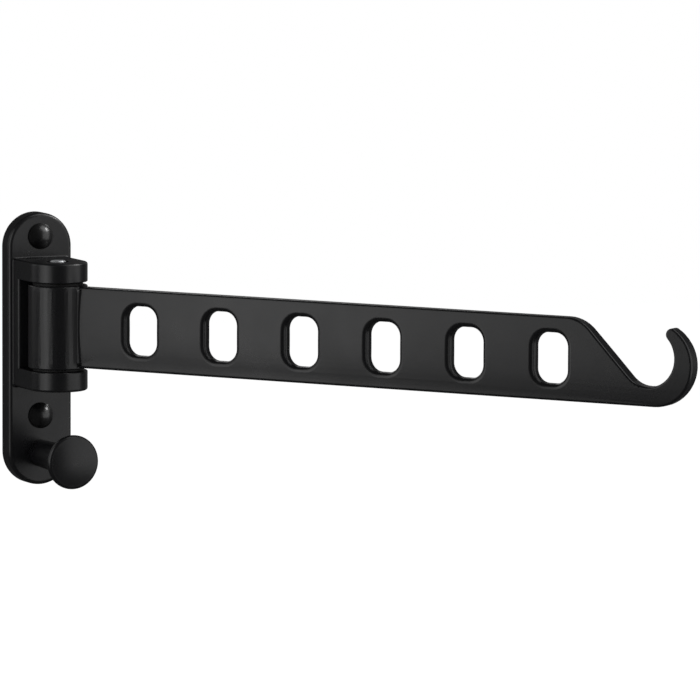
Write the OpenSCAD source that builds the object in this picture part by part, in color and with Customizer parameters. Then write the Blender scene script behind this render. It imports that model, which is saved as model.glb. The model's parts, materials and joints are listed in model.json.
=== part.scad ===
// Folding wall clothing rack. A cast wall bracket carries a swing arm with a row of hanger slots
// and an end hook, and a round coat knob stands out below the hinge.
// Millimetres. The wall is the plane y = 0, the rack stands out along -Y, +X is to the right
// and +Z is up. The origin is on the wall, midway between the two wall screws.

/* [Wall plate] */
// Thickness of the wall plate
plate_t = 7.7; // [6.5:0.1:12]
// Margin of the plate beside the lugs
side_margin = 2; // [1.8:0.1:5]
// Rounding of the plate's front edge
plate_edge_r = 1.7; // [0.4:0.1:1.8]
// Distance from the plate's upper end to the upper wall screw
top_margin = 10.3; // [8:0.1:16]
// Distance from the upper wall screw down to the hinge
upper_gap = 9.4; // [7.4:0.1:16]
// Distance from the hinge down to the lower wall screw
lower_gap = 13.4; // [7.4:0.1:20]
// Distance from the lower wall screw down to the coat knob
knob_gap = 16.7; // [13.4:0.1:26]
// Distance from the coat knob down to the plate's lower end
low_margin = 14; // [9:0.1:20]

/* [Hinge lugs] */
// Distance from the plate's face to the hinge axis
hinge_reach = 19.2; // [16:0.2:26]
// Height of one lug
lug_h = 8.65; // [6:0.05:10]
// Radius of the lugs' round noses, and of the barrel between them
lug_r = 13; // [11.5:0.1:13]
// Rounding of a lug's outer edge
lug_edge_r = 1.1; // [0.5:0.1:2]
// Rounding of a lug's edge at the jaw
jaw_edge_r = 0.5; // [0.2:0.1:1]
// Fillet where the lugs and their web grow out of the plate
root_r = 0.7; // [0.3:0.1:0.8]
// Clearance between the barrel and the web behind it
barrel_gap = 0.4; // [0.3:0.1:1.5]

/* [Hinge pin] */
// Diameter of the pin
pin_d = 7; // [5:0.1:9]
// Height of the pin's end above the upper lug
pin_proud = 0.4; // [0:0.1:1]
// Depth of the pin's lower end inside the lower lug
pin_inset = 0.6; // [0.2:0.1:2]
// Bevel of the pin's ends
pin_bevel = 0.4; // [0.2:0.1:0.8]
// Width of the sunk ring round the pin's upper end
pin_ring_w = 1.3; // [0.6:0.1:3]
// Depth of the sunk ring
pin_ring_depth = 0.8; // [0.4:0.1:2]

/* [Bushes and washer] */
// Running clearance between the pin and a bush, on the radius
run_gap = 0.05; // [0.02:0.01:0.09]
// Wall of a bush
bush_wall = 1.95; // [1.2:0.05:2.5]
// Length of a bush's sleeve
bush_l = 12; // [8:0.5:16]
// Width of a bush's flange outside its sleeve
flange_w = 5.5; // [3:0.1:6.5]
// Thickness of a bush's flange
flange_t = 1; // [0.6:0.1:1.6]
// Distance of the friction washer's rim inside a flange's rim
washer_inset = 0.5; // [0:0.1:2]
// Thickness of the friction washer
washer_t = 0.3; // [0.2:0.05:0.6]
// Clearance between the pin and the washer, on the radius
washer_gap = 0.15; // [0.05:0.05:0.5]
// End play of the arm at each end of the barrel
swing_play = 0.1; // [0.05:0.05:0.3]

/* [Swing arm] */
// Swing of the arm to the right of straight out, in degrees
arm_angle = 34.9; // [-90:0.1:90]
// Height of the blade
blade_h = 35.4; // [31:0.2:38]
// Thickness of the blade
blade_t = 6.6; // [5.4:0.2:10]
// Rounding of the blade's edges
blade_edge_r = 1; // [1:0.1:1.2]
// Fillet between the blade and the barrel
blade_root_r = 1.5; // [0.6:0.1:4]
// Height by which the barrel is taller than the blade
barrel_over = 1; // [0.4:0.1:3]
// Rounding of the barrel's rims
barrel_edge_r = 0.7; // [0.3:0.1:1.4]
// Relief of the barrel's bore round the pin, between the bushes
bore_relief = 0.7; // [0.2:0.1:1.2]

/* [Hanger slots] */
// Number of slots
slot_count = 6; // [2:1:9]
// Distance from the hinge axis to the middle of the first slot
slot_first = 43.5; // [28:0.5:60]
// Distance from one slot to the next
slot_pitch = 40; // [28:0.5:60]
// Width of a slot's throat
slot_w = 15.5; // [13.2:0.1:22]
// Height of a slot's throat
slot_h = 21.5; // [14:0.1:27]
// Radius of a slot's corners
slot_corner_r = 6; // [2.8:0.1:6.5]
// Rounding of a slot's rims, on both faces
slot_edge_r = 2.4; // [0.5:0.1:2.6]

/* [End hook] */
// Distance from the last slot to the middle of the hook
hook_reach = 48.5; // [44:0.5:70]
// Radius of the hook's bowl
bowl_r = 12.2; // [10:0.1:14]
// Shift of the bowl's middle towards the hinge
bowl_back = 2.95; // [1.5:0.05:4]
// Height of the bowl's middle above the blade's middle
bowl_rise = 2.8; // [1.5:0.1:4]
// Slope of the edge that runs down into the bowl, in degrees
slope_angle = 45.7; // [41:0.1:58]
// Radius where the blade's top turns down into the slope
shoulder_r = 16; // [4:0.5:17]
// Radius of the hook's tip
tip_r = 2.6; // [1.6:0.1:3.6]

/* [Coat knob] */
// Distance from the plate's face to the flat of the knob's front
knob_reach = 37; // [26:0.2:60]
// Diameter of the knob's disc
knob_d = 23.7; // [22.5:0.1:34]
// Thickness of the disc
knob_t = 3.2; // [3:0.1:6]
// Rounding of the disc's rim
knob_edge_r = 1.5; // [0.4:0.1:1.6]
// Height of the slight dome on the disc
knob_dome = 0.9; // [0.3:0.1:3]
// Diameter of the stem at the plate
stem_d = 11.8; // [9:0.1:13]
// Diameter of the stem at the disc
stem_end_d = 13.4; // [9:0.1:15]
// Fillet between the stem and the disc
stem_flare_r = 3; // [0.5:0.1:3.6]

/* [Knob screw] */
// Diameter of the knob's screw
knob_screw_d = 5; // [4:0.1:6]
// Diameter of its countersunk head
knob_head_d = 9.6; // [8:0.1:11]
// Length of thread inside the stem
knob_grip = 11; // [8:0.5:18]
// Depth of the stem's bore past the screw's end
knob_bore_spare = 1.5; // [0.5:0.1:3]

/* [Wall screws] */
// Diameter of a wall screw's thread, which starts at the wall
screw_d = 4.5; // [3.4:0.1:5.5]
// Diameter of the plain neck inside the plate
neck_d = 3.2; // [2.4:0.1:3.4]
// Length of a wall screw over all
screw_l = 35; // [30:1:60]
// Length of a wall screw's point
screw_point_l = 5; // [3:0.5:8]
// Diameter of a wall screw's countersunk head
head_d = 9; // [8:0.1:9.6]
// Clearance round a screw in its hole, on the radius
hole_gap = 0.25; // [0.1:0.05:0.5]
// Span of the cross recess in a screw's head
recess_span = 4.6; // [2.6:0.1:5.4]
// Width of the cross recess
recess_w = 1; // [0.7:0.1:1.4]
// Depth of the cross recess
recess_depth = 1.7; // [1:0.1:2.2]

/* [Screw caps] */
// Diameter of a cap
cap_d = 11.4; // [10.6:0.1:13]
// Height of a cap
cap_h = 3.9; // [2:0.1:6]
// Height of the straight skirt at a cap's foot
cap_skirt_h = 0.7; // [0.3:0.1:1.2]
// Diameter of the hollow under a cap
cap_hollow_d = 9.8; // [9.2:0.1:10.4]
// Depth of the hollow under a cap
cap_hollow_h = 0.6; // [0.3:0.1:1]
// Clearance under the cap's peg in the screw's recess
peg_gap = 0.2; // [0.1:0.1:0.5]

/* [Hidden] */
$fn = 96;
// Depth by which joined bodies run into each other, and by which cuts run past a face
sink = 1;
overrun = 0.2;
// Least diameter at a screw's point
point_d = 0.8;
// Depth by which two edges that run into each other cross at their seam, and the angle past it
blend = 0.02;
blend_turn = 6;

black_cast = "#2c2c2e";
black_gloss = "#1d1d1f";
black_nylon = "#202021";
steel = "#b9bbbd";

// Hinge: the barrel, the jaw that holds it with its bushes and washer, and the lugs round the jaw
axis_out = plate_t + hinge_reach;
barrel_r = lug_r;
barrel_h = blade_h + barrel_over;
jaw_h = barrel_h + 2 * (flange_t + swing_play) + washer_t;
hinge_rise = (lower_gap - upper_gap) / 2;
jaw_low = hinge_rise - jaw_h / 2;
jaw_top = hinge_rise + jaw_h / 2;
hinge_h = jaw_h + 2 * lug_h;
hinge_low = jaw_low - lug_h;
hinge_top = jaw_top + lug_h;
barrel_low = jaw_low + swing_play + flange_t;
barrel_top = barrel_low + barrel_h;
web_t = hinge_reach - barrel_r - barrel_gap;
bush_bore_r = pin_d / 2 + run_gap;
bush_r = bush_bore_r + bush_wall;
flange_r = bush_r + flange_w;

// Plate and screws
screw_pitch = upper_gap + hinge_h + lower_gap;
knob_drop = screw_pitch / 2 + knob_gap;
plate_h = top_margin + screw_pitch + knob_gap + low_margin;
plate_w = 2 * (lug_r + side_margin);
plate_drop = (knob_gap + low_margin - top_margin) / 2;
plate_end = (plate_h - plate_w) / 2;
screw_heights = [screw_pitch / 2, -screw_pitch / 2];
head_h = (head_d - neck_d) / 2;
knob_head_h = (knob_head_d - knob_screw_d) / 2;
stem_l = knob_reach - knob_t;
knob_flat_r = knob_d / 2 - knob_edge_r;
knob_sphere_r = (pow(knob_flat_r, 2) + pow(knob_dome, 2)) / (2 * knob_dome);
cap_dome_h = cap_h - cap_skirt_h;
cap_sphere_r = (pow(cap_d / 2, 2) + pow(cap_dome_h, 2)) / (2 * cap_dome_h);

// Arm outline, in the blade's own plane: x along the blade from the hook's middle, y up
hook_r = blade_h / 2;
hook_x = slot_first + slot_pitch * (slot_count - 1) + hook_reach;
bowl_c = [-bowl_back, bowl_rise];
slope_dir = [cos(slope_angle), -sin(slope_angle)];
slope_out = [sin(slope_angle), cos(slope_angle)];
slope_low = bowl_c - (bowl_r - blend) * slope_out;
slope_top_y = hook_r - shoulder_r + (shoulder_r - blend) * cos(slope_angle);
slope_run = (slope_top_y - slope_low.y) / sin(slope_angle);
slope_top = slope_low - slope_run * slope_dir;
shoulder_c = slope_top - (shoulder_r - blend) * slope_out;
slope_lap = shoulder_r * sin(blend_turn);
// The hook narrows to its tip, whose circle touches both the bowl and the hook's outer circle
tip_hook_r = hook_r - tip_r + blend;
tip_bowl_r = bowl_r + tip_r - blend;
centre_gap = norm(bowl_c);
centre_dir = bowl_c / centre_gap;
tip_along = (pow(tip_hook_r, 2) - pow(tip_bowl_r, 2) + pow(centre_gap, 2)) / (2 * centre_gap);
tip_across = sqrt(pow(tip_hook_r, 2) - pow(tip_along, 2));
tip_c = tip_along * centre_dir + tip_across * [centre_dir.y, -centre_dir.x];
tip_out = tip_c / tip_hook_r;
tip_in = (tip_c - bowl_c) / tip_bowl_r;
tip_angle = atan2(tip_out.y, tip_out.x);
tip_bowl_angle = atan2(tip_in.y, tip_in.x);

// Fillet between the blade and the barrel, in plan
cove_x = sqrt(pow(barrel_r + blade_root_r, 2) - pow(blade_t / 2 + blade_root_r, 2));
cove_c = [cove_x, blade_t / 2 + blade_root_r];

// Frames

// x right, y up, z out of the wall
module wall_frame() {
  rotate([90, 0, 0]) children();
}

// Hinge axis at the origin, x along the arm, z up
module hinge_frame() {
  translate([0, -axis_out, 0]) rotate([0, 0, arm_angle - 90]) children();
}

// Blade's own plane: x along the arm from the hook's middle, y up, z out of its front face
module blade_frame() {
  hinge_frame() translate([hook_x, 0, hinge_rise]) rotate([90, 0, 0]) children();
}

module both_faces() {
  for (flip = [0, 1]) mirror([0, 0, flip]) translate([0, 0, blade_t / 2]) children();
}

// Profiles

module round_rect(w, h, r) {
  square([w - 2 * r, h], center = true);
  square([w, h - 2 * r], center = true);
  for (x = [-1, 1], y = [-1, 1]) translate([x * (w / 2 - r), y * (h / 2 - r)]) circle(r);
}

// Half section of a disc with a rounded rim, for turning
module disc_half(radius, h, r) {
  square([radius - r, h]);
  translate([0, r]) square([radius, h - 2 * r]);
  for (y = [r, h - r]) translate([radius - r, y]) circle(r);
}

// Half section of the wall plate, rounded at the front only
module plate_half() {
  square([plate_w / 2 - plate_edge_r, plate_t]);
  square([plate_w / 2, plate_t - plate_edge_r]);
  translate([plate_w / 2 - plate_edge_r, plate_t - plate_edge_r]) circle(plate_edge_r);
}

// Half section of a flat dome of a given foot radius, standing on y = 0
module dome_half(foot_r, h, sphere_r) {
  intersection() {
    translate([0, h - sphere_r]) circle(sphere_r, $fn = 720);
    square([foot_r, h]);
  }
}

// Concave fillet in the corner of two faces, with its own footing in both
module cove(r) {
  difference() {
    translate([-overrun, -overrun]) square(r + overrun);
    translate([r, r]) circle(r);
  }
}

// What a rounding of radius r takes off an edge at the origin
module edge_nick(r) {
  difference() {
    translate([-r, -r]) square(r + overrun);
    translate([-r, -r]) circle(r);
  }
}

// Roundings of the blade: straight edge along x, outer arc and inner arc about the origin
module edge_line(run, r = blade_edge_r) {
  both_faces() rotate([90, 0, 90]) linear_extrude(run) edge_nick(r);
}

module edge_arc(radius, sweep, r = blade_edge_r) {
  both_faces() rotate_extrude(angle = sweep) translate([radius, 0]) edge_nick(r);
}

module edge_bowl(radius, sweep, r = blade_edge_r) {
  both_faces() rotate_extrude(angle = sweep) translate([radius, 0]) mirror([1, 0]) edge_nick(r);
}

// Wall bracket

module plate() {
  wall_frame() translate([0, -plate_drop, 0]) {
    for (end = [-1, 1]) translate([0, end * plate_end, 0]) rotate_extrude() plate_half();
    rotate([90, 0, 0]) linear_extrude(2 * plate_end, center = true) {
      plate_half();
      mirror([1, 0]) plate_half();
    }
  }
}

// Half section of the upper lug, standing on the jaw
module lug_half() {
  square([lug_r - lug_edge_r, lug_h]);
  square([lug_r - jaw_edge_r, lug_h - lug_edge_r]);
  translate([0, jaw_edge_r]) square([lug_r, lug_h - lug_edge_r - jaw_edge_r]);
  translate([lug_r - jaw_edge_r, jaw_edge_r]) circle(jaw_edge_r);
  translate([lug_r - lug_edge_r, lug_h - lug_edge_r]) circle(lug_edge_r);
}

module lug() {
  rotate_extrude() lug_half();
  translate([0, hinge_reach + sink, 0]) rotate([90, 0, 0]) linear_extrude(hinge_reach + sink) {
    lug_half();
    mirror([1, 0]) lug_half();
  }
}

module lugs() {
  translate([0, -axis_out, jaw_top]) lug();
  translate([0, -axis_out, jaw_low]) mirror([0, 0, 1]) lug();
}

module web() {
  web_run = web_t + sink;
  translate([0, sink - plate_t - web_run / 2, hinge_low + lug_h / 2])
    linear_extrude(hinge_h - lug_h) round_rect(2 * lug_r, web_run, lug_edge_r);
}

module root_fillet() {
  side_run = hinge_h - 2 * lug_edge_r;
  top_run = 2 * (lug_r - lug_edge_r);
  wall_frame() translate([0, hinge_rise, plate_t]) {
    for (flip = [0, 1]) {
      mirror([flip, 0, 0]) translate([lug_r, 0, 0]) rotate([90, 0, 0])
        linear_extrude(side_run, center = true) cove(root_r);
      mirror([0, flip, 0]) translate([0, hinge_h / 2, 0]) rotate([90, 0, 90])
        linear_extrude(top_run, center = true) cove(root_r);
    }
    for (flip_x = [0, 1], flip_y = [0, 1])
      mirror([flip_x, 0, 0]) mirror([0, flip_y, 0]) translate([top_run / 2, side_run / 2, 0])
        rotate_extrude(angle = 90) translate([lug_edge_r, 0]) cove(root_r);
  }
}

module pin_holes() {
  translate([0, -axis_out, hinge_low - overrun]) cylinder(d = pin_d, h = hinge_h + 2 * overrun);
  translate([0, -axis_out, hinge_top - pin_ring_depth])
    cylinder(r = pin_d / 2 + pin_ring_w, h = pin_ring_depth + overrun);
}

module plate_holes() {
  wall_frame() {
    for (height = screw_heights) translate([0, height, 0]) {
      translate([0, 0, -overrun]) cylinder(d = screw_d + 2 * hole_gap, h = plate_t + 2 * overrun);
      translate([0, 0, plate_t - head_h])
        cylinder(d1 = neck_d, d2 = head_d + 2 * overrun, h = head_h + overrun);
    }
    translate([0, -knob_drop, 0]) {
      translate([0, 0, -overrun])
        cylinder(d = knob_screw_d + 2 * hole_gap, h = plate_t + 2 * overrun);
      translate([0, 0, -overrun])
        cylinder(d1 = knob_head_d + 2 * overrun, d2 = knob_screw_d, h = knob_head_h + overrun);
    }
  }
}

module wall_bracket() {
  color(black_cast) difference() {
    union() {
      plate();
      lugs();
      web();
      root_fillet();
    }
    pin_holes();
    plate_holes();
  }
}

// Swing arm

// The hook's mouth: everything above the slope and the bowl, back from the tip
module mouth() {
  polygon([slope_low, bowl_c, bowl_c + bowl_r * tip_in, tip_c, hook_r * tip_out,
           2 * hook_r * tip_out, [slope_top.x, 2 * hook_r], slope_top]);
}

module arm_outline() {
  difference() {
    union() {
      difference() {
        union() {
          polygon([[0, -hook_r], [0, 0], bowl_c, slope_low, slope_top, shoulder_c,
                   [shoulder_c.x, hook_r], [-hook_x, hook_r], [-hook_x, -hook_r]]);
          translate(shoulder_c) circle(shoulder_r);
          circle(hook_r);
        }
        mouth();
      }
      translate(tip_c) circle(tip_r);
    }
    translate(bowl_c) circle(bowl_r);
  }
}

module blade_rounding() {
  translate([shoulder_c.x, hook_r, 0]) mirror([1, 0, 0]) edge_line(hook_x + shoulder_c.x);
  translate(shoulder_c) rotate([0, 0, 90]) edge_arc(shoulder_r, -slope_angle);
  translate(slope_top) rotate([0, 0, -slope_angle]) translate([-slope_lap, 0, 0])
    edge_line(slope_run + slope_lap);
  translate(bowl_c) rotate([0, 0, 270 - slope_angle - blend_turn])
    edge_bowl(bowl_r, 90 + slope_angle + tip_bowl_angle + 2 * blend_turn);
  translate(tip_c) rotate([0, 0, tip_angle]) edge_arc(tip_r, 180 + tip_bowl_angle - tip_angle);
  rotate([0, 0, -90]) edge_arc(hook_r, 90 + tip_angle + blend_turn);
  mirror([0, 1, 0]) translate([-hook_x, hook_r, 0]) edge_line(hook_x);
}

// Rounded rims of one slot: an arc in each corner and a line along each side
module slot_rounding() {
  side_x = slot_w / 2 - slot_corner_r;
  side_y = slot_h / 2 - slot_corner_r;
  for (flip_x = [0, 1], flip_y = [0, 1])
    mirror([flip_x, 0, 0]) mirror([0, flip_y, 0]) translate([side_x, side_y, 0])
      edge_bowl(slot_corner_r, 90, slot_edge_r);
  for (flip = [0, 1]) {
    mirror([0, flip, 0]) translate([-side_x, -slot_h / 2, 0]) edge_line(2 * side_x, slot_edge_r);
    mirror([flip, 0, 0]) translate([slot_w / 2, -side_y, 0]) rotate([0, 0, 90])
      edge_line(2 * side_y, slot_edge_r);
  }
}

module slot() {
  linear_extrude(blade_t + 2 * overrun, center = true) round_rect(slot_w, slot_h, slot_corner_r);
  slot_rounding();
}

module blade() {
  blade_frame() difference() {
    linear_extrude(blade_t, center = true) arm_outline();
    blade_rounding();
    for (i = [0 : slot_count - 1]) translate([slot_first + i * slot_pitch - hook_x, 0, 0]) slot();
  }
}

module blade_root() {
  root_h = blade_h - 2 * blade_edge_r;
  barrel_touch = cove_c * barrel_r / (barrel_r + blade_root_r);
  hinge_frame() translate([0, 0, hinge_rise]) linear_extrude(root_h, center = true)
    for (flip = [0, 1]) mirror([0, flip]) difference() {
      polygon([[0, 0], barrel_touch, cove_c, [cove_c.x, blade_t / 2], [cove_c.x, 0]]);
      translate(cove_c) circle(blade_root_r);
    }
}

module barrel() {
  translate([0, -axis_out, barrel_low]) rotate_extrude()
    disc_half(barrel_r, barrel_h, barrel_edge_r);
}

module barrel_bores() {
  translate([0, -axis_out, barrel_low]) {
    translate([0, 0, -overrun])
      cylinder(r = bush_bore_r + bore_relief, h = barrel_h + 2 * overrun);
    translate([0, 0, -overrun]) cylinder(r = bush_r, h = bush_l + overrun);
    translate([0, 0, barrel_h - bush_l]) cylinder(r = bush_r, h = bush_l + overrun);
  }
}

module swing_arm() {
  color(black_cast) difference() {
    union() {
      blade();
      blade_root();
      barrel();
    }
    barrel_bores();
  }
}

// Hinge hardware

// Flanged bush, its flange standing on z = 0 and its sleeve hanging below
module bush() {
  color(black_nylon) difference() {
    union() {
      cylinder(r = flange_r, h = flange_t);
      translate([0, 0, -bush_l]) cylinder(r = bush_r, h = bush_l + flange_t);
    }
    translate([0, 0, -bush_l - overrun])
      cylinder(r = bush_bore_r, h = bush_l + flange_t + 2 * overrun);
  }
}

module upper_bush() {
  translate([0, -axis_out, barrel_top]) bush();
}

module lower_bush() {
  translate([0, -axis_out, barrel_low]) mirror([0, 0, 1]) bush();
}

module friction_washer() {
  color(black_nylon) translate([0, -axis_out, jaw_top - washer_t]) difference() {
    cylinder(r = flange_r - washer_inset, h = washer_t);
    translate([0, 0, -overrun]) cylinder(r = pin_d / 2 + washer_gap, h = washer_t + 2 * overrun);
  }
}

module hinge_pin() {
  low = hinge_low + pin_inset;
  run = hinge_top + pin_proud - low;
  end_d = pin_d - 2 * pin_bevel;
  color(steel) translate([0, -axis_out, low]) {
    cylinder(d1 = end_d, d2 = pin_d, h = pin_bevel);
    translate([0, 0, pin_bevel]) cylinder(d = pin_d, h = run - 2 * pin_bevel);
    translate([0, 0, run - pin_bevel]) cylinder(d1 = pin_d, d2 = end_d, h = pin_bevel);
  }
}

// Coat knob

module knob_half() {
  polygon([[0, 0], [stem_d / 2, 0], [stem_end_d / 2, stem_l], [0, stem_l]]);
  translate([0, stem_l]) disc_half(knob_d / 2, knob_t, knob_edge_r);
  translate([0, knob_reach]) dome_half(knob_flat_r, knob_dome, knob_sphere_r);
  translate([stem_end_d / 2, stem_l]) mirror([0, 1]) cove(stem_flare_r);
}

module knob() {
  color(black_cast) wall_frame() translate([0, -knob_drop, plate_t]) difference() {
    rotate_extrude() knob_half();
    translate([0, 0, -overrun])
      cylinder(d = knob_screw_d, h = knob_grip + knob_bore_spare + overrun);
  }
}

// Screws

module cross_recess(depth) {
  for (turn = [0, 90]) rotate([0, 0, turn]) translate([0, 0, depth / 2])
    cube([recess_span, recess_w, depth], center = true);
}

module knob_screw() {
  run = plate_t + knob_grip;
  color(steel) wall_frame() translate([0, -knob_drop, 0]) difference() {
    union() {
      cylinder(d1 = knob_head_d, d2 = knob_screw_d, h = knob_head_h);
      cylinder(d = knob_screw_d, h = run);
    }
    translate([0, 0, -overrun]) cross_recess(recess_depth + overrun);
  }
}

module wall_screws() {
  shank_low = plate_t - screw_l + screw_point_l;
  color(steel) wall_frame() for (height = screw_heights) translate([0, height, 0]) difference() {
    union() {
      translate([0, 0, plate_t - head_h]) cylinder(d1 = neck_d, d2 = head_d, h = head_h);
      translate([0, 0, -sink]) cylinder(d = neck_d, h = plate_t - head_h + sink);
      translate([0, 0, shank_low]) cylinder(d = screw_d, h = -shank_low);
      translate([0, 0, shank_low - screw_point_l])
        cylinder(d1 = point_d, d2 = screw_d, h = screw_point_l);
    }
    translate([0, 0, plate_t - recess_depth]) cross_recess(recess_depth + overrun);
  }
}

module screw_caps() {
  peg_l = recess_depth - peg_gap + cap_hollow_h + overrun;
  color(black_gloss) wall_frame() for (height = screw_heights) translate([0, height, plate_t]) {
    difference() {
      rotate_extrude() {
        square([cap_d / 2, cap_skirt_h]);
        translate([0, cap_skirt_h]) dome_half(cap_d / 2, cap_dome_h, cap_sphere_r);
      }
      translate([0, 0, -overrun]) cylinder(d = cap_hollow_d, h = cap_hollow_h + overrun);
    }
    translate([0, 0, peg_gap - recess_depth]) cross_recess(peg_l);
  }
}

wall_bracket();
swing_arm();
upper_bush();
lower_bush();
friction_washer();
hinge_pin();
knob();
knob_screw();
wall_screws();
screw_caps();
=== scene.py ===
# Folding wall clothing rack in satin black powder coat: bracket, swing arm, coat knob and hinge hardware.
import json
import math
import bpy
import bmesh
from mathutils import Matrix, Vector

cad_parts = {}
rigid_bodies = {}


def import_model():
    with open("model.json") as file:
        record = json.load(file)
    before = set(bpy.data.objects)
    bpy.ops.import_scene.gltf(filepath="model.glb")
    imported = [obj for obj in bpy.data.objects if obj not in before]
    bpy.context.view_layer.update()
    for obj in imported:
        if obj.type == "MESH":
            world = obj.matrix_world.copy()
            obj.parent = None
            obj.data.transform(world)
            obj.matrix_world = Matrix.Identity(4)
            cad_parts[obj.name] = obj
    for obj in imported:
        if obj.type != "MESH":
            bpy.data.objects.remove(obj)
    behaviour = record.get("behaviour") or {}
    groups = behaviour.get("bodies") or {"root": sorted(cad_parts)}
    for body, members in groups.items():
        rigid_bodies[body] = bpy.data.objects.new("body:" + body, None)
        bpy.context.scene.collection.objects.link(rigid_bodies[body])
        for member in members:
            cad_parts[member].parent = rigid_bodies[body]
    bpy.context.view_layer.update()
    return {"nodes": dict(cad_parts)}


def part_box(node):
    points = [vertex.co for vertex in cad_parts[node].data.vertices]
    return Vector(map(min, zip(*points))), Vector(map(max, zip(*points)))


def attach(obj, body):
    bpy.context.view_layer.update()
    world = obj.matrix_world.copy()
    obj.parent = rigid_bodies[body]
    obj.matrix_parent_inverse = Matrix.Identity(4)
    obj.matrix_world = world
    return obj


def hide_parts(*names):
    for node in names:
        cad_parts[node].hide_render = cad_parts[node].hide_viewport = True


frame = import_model()
nodes = frame["nodes"]
mm = 0.001


def hexColour(code):  # sRGB hex to the linear values that shaders want
    channels = [int(code[i:i + 2], 16) / 255 for i in (1, 3, 5)]
    linear = [c / 12.92 if c <= 0.04045 else ((c + 0.055) / 1.055) ** 2.4 for c in channels]
    return (*linear, 1.0)


def addNode(tree, kind, inputs=None, **settings):  # one node with its settings, values and links
    node = tree.nodes.new(kind)
    for name, value in settings.items():
        setattr(node, name, value)
    for key, value in (inputs or {}).items():
        socket = node.inputs[key]
        if isinstance(value, bpy.types.NodeSocket):
            tree.links.new(value, socket)
        else:
            socket.default_value = value
    return node


def addObject(name, mesh):
    thing = bpy.data.objects.new(name, mesh)
    bpy.context.scene.collection.objects.link(thing)
    return thing


# Camera: a long lens from the front left and a little above, as in the photograph
cameraSet = {
    "place": (-1.13775, -2.66853, 0.30627),
    "yaw": 0.45102,      # radians, turned to the right of straight at the wall
    "pitch": 0.10900,    # looking down
    "roll": 0.00439,
    "lens": 340.688,
    "sensor": 36.0,
    "farClip": 50.0,
}


def makeCamera(s):
    data = bpy.data.cameras.new("camera")
    data.sensor_width = s["sensor"]
    data.lens = s["lens"]
    data.clip_end = s["farClip"]
    camera = addObject("camera", data)
    ahead = Vector((math.sin(s["yaw"]) * math.cos(s["pitch"]),
                    math.cos(s["yaw"]) * math.cos(s["pitch"]), -math.sin(s["pitch"])))
    level = Vector((math.cos(s["yaw"]), -math.sin(s["yaw"]), 0))
    above = level.cross(ahead)
    right = level * math.cos(s["roll"]) + above * math.sin(s["roll"])
    up = above * math.cos(s["roll"]) - level * math.sin(s["roll"])
    turn = Matrix((right, up, -ahead)).transposed().to_4x4()
    camera.matrix_world = Matrix.Translation(s["place"]) @ turn
    bpy.context.scene.camera = camera


makeCamera(cameraSet)
print("camera made")

# Studio: a dark tent that only reflections see, soft boxes on all sides, a key lamp, and white beyond
studio = {
    "middle": (0.02, -0.10, 0.0),
    "floorLevel": -0.34,
    "floorHalf": 3.0,
    "floorColour": "#ededed",
    "floorLift": 0.62,        # what the camera and reflections see on top of the floor's own light
    "ambient": 0.45,
    "tentRadius": 1.7,
    "tentLow": -0.33,
    "tentHigh": 1.6,
    "tentSides": 32,
    "tentColour": "#050505",
    "tentGlow": 0.05,         # a little light in the cloth, so that the darkest reflections aren't empty
}
hingeFront = (0.0, -0.04, 0.0)    # what most of the lamps look at
softBoxes = [    # glow is the brightness of the lamp's face, and keptOff names the pieces it doesn't light
    {"name": "leftFar", "place": (-0.405, -0.3135, 0.073), "aim": (0.055, -0.5055, 0.073),
     "size": (0.235, 0.376), "lean": 4.5, "glow": 0.98, "keptOff": ["screw_caps"]},
    {"name": "leftMiddle", "place": (-0.338, -0.152, 0.073), "aim": (0.122, -0.344, 0.073),
     "size": (0.115, 0.376), "lean": 4.5, "glow": 1.72, "keptOff": ["screw_caps"]},
    {"name": "leftNear", "place": (-0.2926, -0.0435, 0.073), "aim": (0.1674, -0.2355, 0.073),
     "size": (0.12, 0.376), "lean": 4.5, "glow": 1.1, "keptOff": ["screw_caps"]},
    {"name": "rightBox", "place": (0.485, -0.545, 0.05), "aim": hingeFront, "size": (0.78, 0.62),
     "glow": 0.95},
    {"name": "keyLamp", "place": (1.05, -0.40, 0.86), "aim": (0.0, -0.03, 0.0), "size": (0.34, 0.42),
     "glow": 15.0, "keptOff": ["swingArm", "knob"]},
    {"name": "upperBox", "place": (0.50, -0.50, 0.86), "aim": hingeFront, "size": (0.7, 0.8),
     "glow": 1.6},
    {"name": "backBox", "place": (-0.10, 0.80, 0.62), "aim": hingeFront, "size": (1.0, 0.6),
     "glow": 0.6, "keptOff": ["wall_bracket"]},
    {"name": "rearLeftBox", "place": (-0.85, 0.62, 0.25), "aim": hingeFront, "size": (0.6, 0.7),
     "glow": 0.6},
    {"name": "rearRightBox", "place": (0.7, 0.65, 0.1), "aim": hingeFront, "size": (0.7, 0.8),
     "glow": 0.13},
    {"name": "rearBox", "place": (0.25, 1.15, 0.75), "aim": hingeFront, "size": (0.9, 0.5),
     "glow": 1.2, "keptOff": ["wall_bracket"]},
]


def seenShare(tree):  # 1 to the camera, gloss and clear material, and 0 as light that falls on the object
    path = addNode(tree, "ShaderNodeLightPath").outputs
    seen = addNode(tree, "ShaderNodeMath", {0: path["Is Camera Ray"], 1: path["Is Glossy Ray"]},
                   operation="MAXIMUM")
    seen = addNode(tree, "ShaderNodeMath", {0: seen.outputs[0], 1: path["Is Transmission Ray"]},
                   operation="MAXIMUM")
    return seen.outputs[0]


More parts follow.
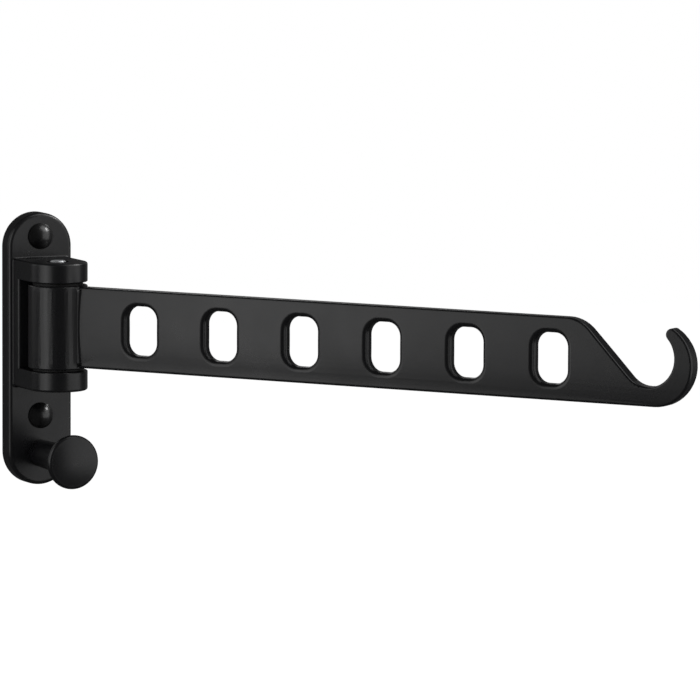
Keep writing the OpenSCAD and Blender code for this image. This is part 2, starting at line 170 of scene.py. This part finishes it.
def makeWorld(s):
    world = bpy.data.worlds.new("studio")
    bpy.context.scene.world = world
    world.use_nodes = True
    world.cycles.sampling_method = "NONE"    # an even world needs no aiming, and the tent stays dark
    tree = world.node_tree
    tree.nodes.clear()
    soft = addNode(tree, "ShaderNodeBackground", {"Color": hexColour("#ffffff"), "Strength": s["ambient"]})
    white = addNode(tree, "ShaderNodeBackground", {"Color": hexColour("#ffffff"), "Strength": 1.0})
    mix = addNode(tree, "ShaderNodeMixShader", {0: seenShare(tree), 1: soft.outputs[0], 2: white.outputs[0]})
    addNode(tree, "ShaderNodeOutputWorld", {"Surface": mix.outputs[0]})


def makePanel(name, centre, across, upward, material):  # a flat stage panel from its two half extents
    centre, across, upward = Vector(centre), Vector(across), Vector(upward)
    mesh = bpy.data.meshes.new(name)
    corners = [centre - across - upward, centre + across - upward, centre + across + upward,
               centre - across + upward]
    mesh.from_pydata(corners, [], [(0, 1, 2, 3)])
    mesh.materials.append(material)
    addObject(name, mesh)


def makeFloor(s):
    material = bpy.data.materials.new("paleFloorPaper")
    material.use_nodes = True
    tree = material.node_tree
    tree.nodes.clear()
    lift = addNode(tree, "ShaderNodeMath", {0: seenShare(tree), 1: s["floorLift"]}, operation="MULTIPLY")
    paper = addNode(tree, "ShaderNodeBsdfDiffuse", {"Color": hexColour(s["floorColour"])})
    glow = addNode(tree, "ShaderNodeEmission", {"Color": hexColour("#ffffff"), "Strength": lift.outputs[0]})
    both = addNode(tree, "ShaderNodeAddShader", {0: paper.outputs[0], 1: glow.outputs[0]})
    addNode(tree, "ShaderNodeOutputMaterial", {"Surface": both.outputs[0]})
    x, y, z = s["middle"]
    makePanel("floor", (x, y, s["floorLevel"]), (s["floorHalf"], 0, 0), (0, s["floorHalf"], 0), material)


def makeTent(s):  # grey cloth all round and above, which draws the dark bands in the gloss
    material = bpy.data.materials.new("darkTentCloth")
    material.use_nodes = True
    shader = material.node_tree.nodes["Principled BSDF"]
    shader.inputs["Base Color"].default_value = hexColour(s["tentColour"])
    shader.inputs["Roughness"].default_value = 1.0
    shader.inputs["Specular IOR Level"].default_value = 0.0
    shader.inputs["Emission Color"].default_value = hexColour("#ffffff")
    shader.inputs["Emission Strength"].default_value = s["tentGlow"]
    shape = bmesh.new()
    x, y = s["middle"][:2]
    rings = [[shape.verts.new((x + s["tentRadius"] * math.cos(2 * math.pi * i / s["tentSides"]),
                               y + s["tentRadius"] * math.sin(2 * math.pi * i / s["tentSides"]), level))
              for i in range(s["tentSides"])] for level in (s["tentLow"], s["tentHigh"])]
    for i in range(s["tentSides"]):
        j = (i + 1) % s["tentSides"]
        shape.faces.new((rings[0][j], rings[0][i], rings[1][i], rings[1][j]))
    shape.faces.new(rings[0])
    shape.faces.new(list(reversed(rings[1])))
    mesh = bpy.data.meshes.new("darkTent")
    shape.to_mesh(mesh)
    shape.free()
    mesh.materials.append(material)
    tent = addObject("darkTent", mesh)
    tent.visible_camera = False
    tent.visible_diffuse = False
    tent.visible_shadow = False


def makeSoftBox(s):
    data = bpy.data.lights.new(s["name"], "AREA")
    data.shape = "RECTANGLE"
    data.size, data.size_y = s["size"]
    data.energy = s["glow"] * math.pi * s["size"][0] * s["size"][1]    # gives the face that brightness
    lamp = addObject(s["name"], data)
    back = Vector(s["place"]) - Vector(s["aim"])
    turn = back.to_track_quat("Z", "Y").to_matrix().to_4x4()
    lean = Matrix.Rotation(math.radians(s.get("lean", 0)), 4, "Z")
    lamp.matrix_world = Matrix.Translation(s["place"]) @ turn @ lean
    lamp.visible_camera = False


bpy.context.scene.view_settings.view_transform = "Standard"
makeWorld(studio)
makeFloor(studio)
makeTent(studio)
for softBox in softBoxes:
    makeSoftBox(softBox)
print("studio made")

# Materials
noiseLow, noiseHigh = 0.3, 0.7    # the span that the noise texture really fills
waveTurn = 0.314                  # a wave texture repeats every 0.314 of its unit

coatSet = {
    "colour": "#0c0c0e",       # between the deep black of the resin and its faint blue
    "colourPale": "#101012",
    "roughness": 0.30,
    "roughnessSpread": 0.04,
    "ior": 1.48,
    "peelSize": 1.6 * mm,      # orange peel of a sprayed and baked powder, one swell to the next
    "peelHeight": 0.010 * mm,
    "grainSize": 0.35 * mm,    # fine grain of a satin powder, drawn about twice as coarse as it is
    "grainHeight": 0.0022 * mm,
    "cloudScale": 45.0,        # slow mottling of the gloss, about 22 mm from one cloud to the next
}


def newMaterial(name):
    material = bpy.data.materials.new(name)
    material.use_nodes = True
    return material, material.node_tree, material.node_tree.nodes["Principled BSDF"]


def makePowderCoat(s):
    # Polyester powder, sprayed and baked on a casting: an even satin black, its gloss faintly mottled
    # by orange peel and grain.
    material, tree, shader = newMaterial("satinBlackPowderCoat")
    place = addNode(tree, "ShaderNodeTexCoord").outputs["Object"]
    peel = addNode(tree, "ShaderNodeTexNoise", {"Vector": place, "Scale": 1 / s["peelSize"], "Detail": 1.0})
    grain = addNode(tree, "ShaderNodeTexNoise", {"Vector": place, "Scale": 1 / s["grainSize"], "Detail": 2.0})
    cloud = addNode(tree, "ShaderNodeTexNoise", {"Vector": place, "Scale": s["cloudScale"], "Detail": 3.0})
    colour = addNode(tree, "ShaderNodeMix", {"Factor": grain.outputs["Fac"], 6: hexColour(s["colour"]),
                     7: hexColour(s["colourPale"])}, data_type="RGBA")
    rough = addNode(tree, "ShaderNodeMapRange", {"Value": cloud.outputs["Fac"], "From Min": noiseLow,
                    "From Max": noiseHigh, "To Min": s["roughness"] - s["roughnessSpread"],
                    "To Max": s["roughness"] + s["roughnessSpread"]})
    swell = addNode(tree, "ShaderNodeBump", {"Height": peel.outputs["Fac"], "Distance": s["peelHeight"],
                    "Strength": 1.0})
    fine = addNode(tree, "ShaderNodeBump", {"Height": grain.outputs["Fac"], "Distance": s["grainHeight"],
                   "Strength": 1.0, "Normal": swell.outputs["Normal"]})
    tree.links.new(colour.outputs[2], shader.inputs["Base Color"])
    tree.links.new(rough.outputs["Result"], shader.inputs["Roughness"])
    tree.links.new(fine.outputs["Normal"], shader.inputs["Normal"])
    shader.inputs["IOR"].default_value = s["ior"]
    return material


capSet = {
    "colour": "#0b0b0c",
    "roughness": 0.38,
    "roughnessSpread": 0.03,
    "skinShare": 0.45,        # share of the bright skin over the hazier body
    "skinRoughness": 0.19,
    "skinIor": 1.6,
    "ior": 1.5,
    "waveSize": 3.0 * mm,     # slow unevenness of a moulded skin
    "waveHeight": 0.006 * mm,
    "hazeScale": 2500.0,      # fine haze, 0.4 mm from one fleck to the next
}


def makeMouldedGloss(s):
    # ABS, injection moulded in a polished tool: deep black, with a bright skin over a hazier body, and a
    # slow wave in both.
    material, tree, shader = newMaterial("glossBlackMouldedAbs")
    place = addNode(tree, "ShaderNodeTexCoord").outputs["Object"]
    wave = addNode(tree, "ShaderNodeTexNoise", {"Vector": place, "Scale": 1 / s["waveSize"], "Detail": 1.0})
    haze = addNode(tree, "ShaderNodeTexNoise", {"Vector": place, "Scale": s["hazeScale"], "Detail": 1.0})
    rough = addNode(tree, "ShaderNodeMapRange", {"Value": haze.outputs["Fac"], "From Min": noiseLow,
                    "From Max": noiseHigh, "To Min": s["roughness"] - s["roughnessSpread"],
                    "To Max": s["roughness"] + s["roughnessSpread"]})
    bump = addNode(tree, "ShaderNodeBump", {"Height": wave.outputs["Fac"], "Distance": s["waveHeight"]})
    tree.links.new(rough.outputs["Result"], shader.inputs["Roughness"])
    tree.links.new(bump.outputs["Normal"], shader.inputs["Normal"])
    shader.inputs["Base Color"].default_value = hexColour(s["colour"])
    shader.inputs["IOR"].default_value = s["ior"]
    shader.inputs["Coat Weight"].default_value = s["skinShare"]
    shader.inputs["Coat Roughness"].default_value = s["skinRoughness"]
    shader.inputs["Coat IOR"].default_value = s["skinIor"]
    return material


nylonSet = {
    "colour": "#0b0b0c",
    "roughness": 0.62,
    "roughnessSpread": 0.08,
    "ior": 1.45,
    "grain": 0.25 * mm,
}


def makeNylon(s):
    # Nylon 66, turned from rod: dull black, its gloss uneven where the tool has passed.
    material, tree, shader = newMaterial("dullBlackTurnedNylon")
    place = addNode(tree, "ShaderNodeTexCoord").outputs["Object"]
    grain = addNode(tree, "ShaderNodeTexNoise", {"Vector": place, "Scale": 1 / s["grain"], "Detail": 2.0})
    rough = addNode(tree, "ShaderNodeMapRange", {"Value": grain.outputs["Fac"],
                    "To Min": s["roughness"] - s["roughnessSpread"],
                    "To Max": s["roughness"] + s["roughnessSpread"]})
    tree.links.new(rough.outputs["Result"], shader.inputs["Roughness"])
    shader.inputs["Base Color"].default_value = hexColour(s["colour"])
    shader.inputs["IOR"].default_value = s["ior"]
    return material


screwSteelSet = {
    "colour": "#c9cbce",
    "roughness": 0.24,
    "roughnessFall": 0.06,     # by which the gloss varies either way
    "roughnessRise": 0.08,
    "ringPitch": 0.22 * mm,
    "ringHeight": 0.004 * mm,
    "ringWobble": 0.6,
    "blushScale": 300.0,       # uneven gloss, about 3 mm from one patch to the next
}
pinSteelSet = {
    **screwSteelSet,
    "colour": "#d6d8da",
    "roughness": 0.42,
    "ringPitch": 0.25 * mm,
    "ringHeight": 0.02 * mm,
}


def makeTurnedSteel(name, s, centre, turn=(0, 0, 0)):
    # Turned steel, bare on the pin and zinc plated on the screws: bright, the zinc slightly blue, with rings
    # from the tool about its axis.
    material, tree, shader = newMaterial(name)
    place = addNode(tree, "ShaderNodeTexCoord").outputs["Object"]
    laid = addNode(tree, "ShaderNodeMapping", {"Vector": place, "Location": centre, "Rotation": turn})
    rings = addNode(tree, "ShaderNodeTexWave", {"Vector": laid.outputs[0], "Scale": waveTurn / s["ringPitch"],
                    "Distortion": s["ringWobble"], "Detail": 1.0}, wave_type="RINGS", rings_direction="Z")
    blush = addNode(tree, "ShaderNodeTexNoise", {"Vector": place, "Scale": s["blushScale"], "Detail": 3.0})
    rough = addNode(tree, "ShaderNodeMapRange", {"Value": blush.outputs["Fac"], "From Min": noiseLow,
                    "From Max": noiseHigh, "To Min": s["roughness"] - s["roughnessFall"],
                    "To Max": s["roughness"] + s["roughnessRise"]})
    bump = addNode(tree, "ShaderNodeBump", {"Height": rings.outputs["Fac"], "Distance": s["ringHeight"]})
    tree.links.new(rough.outputs["Result"], shader.inputs["Roughness"])
    tree.links.new(bump.outputs["Normal"], shader.inputs["Normal"])
    shader.inputs["Base Color"].default_value = hexColour(s["colour"])
    shader.inputs["Metallic"].default_value = 1.0
    return material


powderCoat = makePowderCoat(coatSet)
mouldedGloss = makeMouldedGloss(capSet)
turnedNylon = makeNylon(nylonSet)
hingeAxis = (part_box("hinge_pin")[0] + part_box("hinge_pin")[1]) / 2
pinSteel = makeTurnedSteel("brightTurnedSteel", pinSteelSet, (-hingeAxis.x, -hingeAxis.y, 0))
screwSteel = makeTurnedSteel("zincPlatedScrewSteel", screwSteelSet, (0, 0, 0), (math.pi / 2, 0, 0))
print("materials made")

finishes = {
    "wall_bracket": powderCoat, "swing_arm": powderCoat, "knob": powderCoat,
    "screw_caps": mouldedGloss, "upper_bush": turnedNylon, "lower_bush": turnedNylon,
    "friction_washer": turnedNylon, "hinge_pin": pinSteel, "knob_screw": screwSteel,
    "wall_screws": screwSteel,
}
for name, finish in finishes.items():
    for place in nodes[name].material_slots:
        place.material = finish
print("castings and hardware finished")

# Swing arm: the casting's faces swell a little towards their middle, so a copy of its mesh is cut into
# strips along the blade and thinned from there to its upper and lower edges
armShape = {
    "swing": 34.9,             # degrees to the right of straight out, at rest
    "bladeHeight": 35.4 * mm,
    "bladeMiddle": 2.0 * mm,
    "bladeThickness": 6.6 * mm,
    "barrelRadius": 12.4 * mm,
    "crown": 1.2 * mm,         # by which each face falls from its middle to its edges
    "blend": 1.6 * mm,         # from the barrel's skin outwards, over which the crown sets in
    "fadeStart": 20.0 * mm,
    "fadeEnd": 270.0 * mm,
    "fadeShare": 0.45,         # by which the crown has died away at the hook
    "strips": 14,
    "joinGap": 0.002 * mm,     # below which points of the copied mesh are one
    "flatAngle": 0.3,          # degrees, below which neighbouring faces are joined before the cuts
    "sharpAngle": 18,          # degrees, from which an edge stays sharp
    "flatWeight": 90,          # how much the large flats rule the shading at their edges
}
cutTolerance = 0.0001 * mm


def bakeModifiers(thing, name):  # the evaluated result as a plain mesh, with no modifier left
    bpy.context.view_layer.update()
    view = bpy.context.evaluated_depsgraph_get()
    mesh = bpy.data.meshes.new_from_object(thing.evaluated_get(view))
    mesh.name = name
    thing.modifiers.clear()
    thing.data = mesh


def cutStrips(shape, normal, places):  # cut a closed mesh along parallel planes, and leave it closed
    for place in places:
        parts = list(shape.verts) + list(shape.edges) + list(shape.faces)
        bmesh.ops.bisect_plane(shape, geom=parts, dist=cutTolerance, plane_co=place, plane_no=normal)


def makeSwingArm(s):
    source = nodes["swing_arm"]
    shape = bmesh.new()
    shape.from_mesh(source.data)
    bmesh.ops.remove_doubles(shape, verts=shape.verts, dist=s["joinGap"])
    bmesh.ops.dissolve_limit(shape, angle_limit=math.radians(s["flatAngle"]), verts=shape.verts,
                             edges=shape.edges)
    axis = Vector((hingeAxis.x, hingeAxis.y, s["bladeMiddle"]))
    swing = math.radians(s["swing"])
    along = Vector((math.sin(swing), -math.cos(swing), 0))
    across = Vector((-math.cos(swing), -math.sin(swing), 0))
    half = s["bladeHeight"] / 2
    thick = s["bladeThickness"] / 2
    steps = [half * (2 * i / s["strips"] - 1) for i in range(1, s["strips"])]
    cutStrips(shape, Vector((0, 0, 1)), [axis + Vector((0, 0, step)) for step in steps])
    for vert in shape.verts:
        offset = vert.co - axis
        out = offset.dot(along) - s["barrelRadius"]
        if out <= 0:
            continue
        share = min(1.0, out / s["blend"])
        fade = min(1.0, max(0.0, (out - s["fadeStart"]) / (s["fadeEnd"] - s["fadeStart"])))
        fall = s["crown"] * (offset.z / half) ** 2 * share * (1 - s["fadeShare"] * fade)
        vert.co -= across * (offset.dot(across) / thick) * fall
    mesh = bpy.data.meshes.new("armStrips")
    shape.to_mesh(mesh)
    shape.free()
    for face in mesh.polygons:
        face.use_smooth = True
    mesh.set_sharp_from_angle(angle=math.radians(s["sharpAngle"]))
    mesh.materials.clear()
    mesh.materials.append(powderCoat)
    arm = addObject("swingArm", mesh)
    weights = arm.modifiers.new("areaNormals", "WEIGHTED_NORMAL")  # keeps the flats even beside roundings
    weights.mode = "FACE_AREA"
    weights.weight = s["flatWeight"]
    weights.keep_sharp = True
    bakeModifiers(arm, "swingArm")
    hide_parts("swing_arm")
    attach(arm, "arm")
    return arm


swingArm = makeSwingArm(armShape)
print("arm crowned", len(swingArm.data.polygons), "faces")

# Wall screws: one turned blank, then a tree that cuts the thread into it and sets it at both heights
screwLow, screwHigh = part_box("wall_screws")
screw = {
    "face": -screwLow.y,       # the head's flat, level with the plate's face
    "tip": -screwHigh.y,
    "headRadius": screwHigh.x,
    "headRim": 0.15 * mm,
    "neckRadius": 1.6 * mm,    # plain neck inside the plate
    "neckStep": 0.3 * mm,      # height in which the threaded core widens to the neck
    "crestRadius": 2.25 * mm,
    "coreRadius": 1.45 * mm,
    "threadTop": 0.0,          # the thread starts at the wall
    "pointLength": 5.0 * mm,
    "pointSwell": 0.7,         # below 1 the point swells as it rises, at 1 it is a plain cone
    "tipRadius": 0.4 * mm,
    "threadPitch": 2.0 * mm,
    "crestShare": 0.42,        # share of the pitch that the thread's ridge takes
    "ringStep": 0.2 * mm,
    "sides": 40,
    "recessSpan": 4.6 * mm,
    "recessWidth": 1.0 * mm,
    "recessDepth": 1.7 * mm,
    "sharpAngle": 35,          # degrees
}


def lathe(name, profile, sides):  # profile of (radius, height) from the foot up, closed at both ends
    shape = bmesh.new()
    rings = []
    for radius, height in profile:
        rings.append([shape.verts.new((radius * math.cos(2 * math.pi * i / sides),
                                       radius * math.sin(2 * math.pi * i / sides), height))
                      for i in range(sides)])
    for low, high in zip(rings, rings[1:]):
        for i in range(sides):
            j = (i + 1) % sides
            shape.faces.new((low[i], low[j], high[j], high[i]))
    shape.faces.new(list(reversed(rings[0])))
    shape.faces.new(rings[-1])
    mesh = bpy.data.meshes.new(name)
    shape.to_mesh(mesh)
    shape.free()
    return mesh


def screwBlank(s):
    coneLow = s["face"] - s["headRim"] - (s["headRadius"] - s["neckRadius"])
    pointStart = s["tip"] + s["pointLength"]
    profile = [(s["tipRadius"], s["tip"])]
    steps = round((s["threadTop"] - s["tip"]) / s["ringStep"])
    for i in range(1, steps + 1):
        height = s["tip"] + (s["threadTop"] - s["tip"]) * i / steps
        share = min(1, (height - s["tip"]) / (pointStart - s["tip"]))
        swell = (s["coreRadius"] - s["tipRadius"]) * share ** s["pointSwell"]
        profile.append((s["tipRadius"] + swell, height))
    profile += [(s["neckRadius"], s["threadTop"] + s["neckStep"]), (s["neckRadius"], coneLow),
                (s["headRadius"], s["face"] - s["headRim"]), (s["headRadius"], s["face"])]
    return lathe("screwBlank", profile, s["sides"])


def threadTree():
    tree = bpy.data.node_groups.new("threadedScrews", "GeometryNodeTree")
    face = tree.interface
    face.new_socket("Blank", in_out="INPUT", socket_type="NodeSocketGeometry")
    for label in ("Thread Pitch", "Thread Depth", "Thread Top", "Point Start", "Tip", "Crest Share",
                  "Screw Spacing"):
        face.new_socket(label, in_out="INPUT", socket_type="NodeSocketFloat")
    face.new_socket("Finish", in_out="INPUT", socket_type="NodeSocketMaterial")
    face.new_socket("Screws", in_out="OUTPUT", socket_type="NodeSocketGeometry")
    entry = addNode(tree, "NodeGroupInput").outputs
    place = addNode(tree, "ShaderNodeSeparateXYZ", {0: addNode(tree, "GeometryNodeInputPosition").outputs[0]})
    angle = addNode(tree, "ShaderNodeMath", {0: place.outputs["Y"], 1: place.outputs["X"]},
                    operation="ARCTAN2")
    turns = addNode(tree, "ShaderNodeMath", {0: angle.outputs[0], 1: 2 * math.pi}, operation="DIVIDE")
    rise = addNode(tree, "ShaderNodeMath", {0: place.outputs["Z"], 1: entry["Thread Pitch"]},
                   operation="DIVIDE")
    phase = addNode(tree, "ShaderNodeMath", {0: rise.outputs[0], 1: turns.outputs[0]}, operation="SUBTRACT")
    saw = addNode(tree, "ShaderNodeMath", {0: phase.outputs[0]}, operation="FRACT")
    offCrest = addNode(tree, "ShaderNodeMath", {0: saw.outputs[0], 1: 0.5}, operation="SUBTRACT")
    offCrest = addNode(tree, "ShaderNodeMath", {0: offCrest.outputs[0]}, operation="ABSOLUTE")
    halfCrest = addNode(tree, "ShaderNodeMath", {0: entry["Crest Share"], 1: 2.0}, operation="DIVIDE")
    ridge = addNode(tree, "ShaderNodeMapRange", {"Value": offCrest.outputs[0],
                    "From Min": halfCrest.outputs[0], "From Max": 0.0, "To Min": 0.0, "To Max": 1.0})
    pointRamp = addNode(tree, "ShaderNodeMapRange", {"Value": place.outputs["Z"], "From Min": entry["Tip"],
                        "From Max": entry["Point Start"], "To Min": 0.0, "To Max": 1.0})
    runOut = addNode(tree, "ShaderNodeMath", {0: entry["Thread Top"], 1: entry["Thread Pitch"]},
                     operation="SUBTRACT")
    topRamp = addNode(tree, "ShaderNodeMapRange", {"Value": place.outputs["Z"],
                      "From Min": entry["Thread Top"], "From Max": runOut.outputs[0], "To Min": 0.0,
                      "To Max": 1.0})
    height = addNode(tree, "ShaderNodeMath", {0: ridge.outputs[0], 1: pointRamp.outputs[0]},
                     operation="MULTIPLY")
    height = addNode(tree, "ShaderNodeMath", {0: height.outputs[0], 1: topRamp.outputs[0]},
                     operation="MULTIPLY")
    height = addNode(tree, "ShaderNodeMath", {0: height.outputs[0], 1: entry["Thread Depth"]},
                     operation="MULTIPLY")
    outward = addNode(tree, "ShaderNodeCombineXYZ", {"X": place.outputs["X"], "Y": place.outputs["Y"],
                      "Z": 0.0})
    outward = addNode(tree, "ShaderNodeVectorMath", {0: outward.outputs[0]}, operation="NORMALIZE")
    push = addNode(tree, "ShaderNodeVectorMath", {0: outward.outputs[0], "Scale": height.outputs[0]},
                   operation="SCALE")
    cut = addNode(tree, "GeometryNodeSetPosition", {"Geometry": entry["Blank"], "Offset": push.outputs[0]})
    half = addNode(tree, "ShaderNodeMath", {0: entry["Screw Spacing"], 1: 2.0}, operation="DIVIDE")
    minus = addNode(tree, "ShaderNodeMath", {0: half.outputs[0], 1: -1.0}, operation="MULTIPLY")
    start = addNode(tree, "ShaderNodeCombineXYZ", {"X": 0.0, "Y": 0.0, "Z": minus.outputs[0]})
    end = addNode(tree, "ShaderNodeCombineXYZ", {"X": 0.0, "Y": 0.0, "Z": half.outputs[0]})
    row = addNode(tree, "GeometryNodeMeshLine", {"Count": 2, "Start Location": start.outputs[0],
                  "Offset": end.outputs[0]}, mode="END_POINTS")
    sets = addNode(tree, "GeometryNodeInstanceOnPoints", {"Points": row.outputs[0],
                   "Instance": cut.outputs[0], "Rotation": (math.pi / 2, 0, 0)})
    real = addNode(tree, "GeometryNodeRealizeInstances", {"Geometry": sets.outputs[0]})
    named = addNode(tree, "GeometryNodeSetMaterial", {"Geometry": real.outputs[0],
                    "Material": entry["Finish"]})
    addNode(tree, "NodeGroupOutput", {0: named.outputs[0]})
    return tree


def setInput(modifier, label, value):
    for item in modifier.node_group.interface.items_tree:
        if item.item_type == "SOCKET" and item.in_out == "INPUT" and item.name == label:
            modifier[item.identifier] = value
            return


def makeWallScrews(s):
    screws = addObject("wallScrews", screwBlank(s))
    recess = bmesh.new()
    for wide, deep in ((s["recessSpan"], s["recessWidth"]), (s["recessWidth"], s["recessSpan"])):
        bar = bmesh.ops.create_cube(recess, size=1.0)["verts"]
        bmesh.ops.scale(recess, vec=(wide, deep, 2 * s["recessDepth"]), verts=bar)
        bmesh.ops.translate(recess, vec=(0, 0, s["face"]), verts=bar)
    tool = bpy.data.meshes.new("screwRecess")
    recess.to_mesh(tool)
    recess.free()
    cutter = addObject("screwRecess", tool)
    cut = screws.modifiers.new("recess", "BOOLEAN")
    cut.operation = "DIFFERENCE"
    cut.object = cutter
    cut.solver = "EXACT"
    cut.use_self = True
    bakeModifiers(screws, "recessedScrewBlank")
    bpy.data.objects.remove(cutter)
    thread = screws.modifiers.new("thread", "NODES")
    thread.node_group = threadTree()
    spacing = screwHigh.z - screwLow.z - 2 * s["headRadius"]
    sizes = {
        "Thread Pitch": s["threadPitch"], "Thread Depth": s["crestRadius"] - s["coreRadius"],
        "Thread Top": s["threadTop"], "Point Start": s["tip"] + s["pointLength"], "Tip": s["tip"],
        "Crest Share": s["crestShare"], "Screw Spacing": spacing, "Finish": screwSteel,
    }
    for label, value in sizes.items():
        setInput(thread, label, value)
    bakeModifiers(screws, "wallScrews")
    for face in screws.data.polygons:
        face.use_smooth = True
    screws.data.set_sharp_from_angle(angle=math.radians(s["sharpAngle"]))
    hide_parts("wall_screws")
    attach(screws, "bracket")


makeWallScrews(screw)
print("wall screws threaded")


def setCards(boxes):  # a lamp is kept off the pieces that keptOff names, as a black card does in a studio
    for box in boxes:
        if "keptOff" not in box:
            continue
        shaded = bpy.data.collections.new(box["name"] + "Card")
        for name in box["keptOff"]:
            shaded.objects.link(bpy.data.objects[name])
        for entry in shaded.collection_objects:
            entry.light_linking.link_state = "EXCLUDE"
        bpy.data.objects[box["name"]].light_linking.receiver_collection = shaded


setCards(softBoxes)
print("cards set")
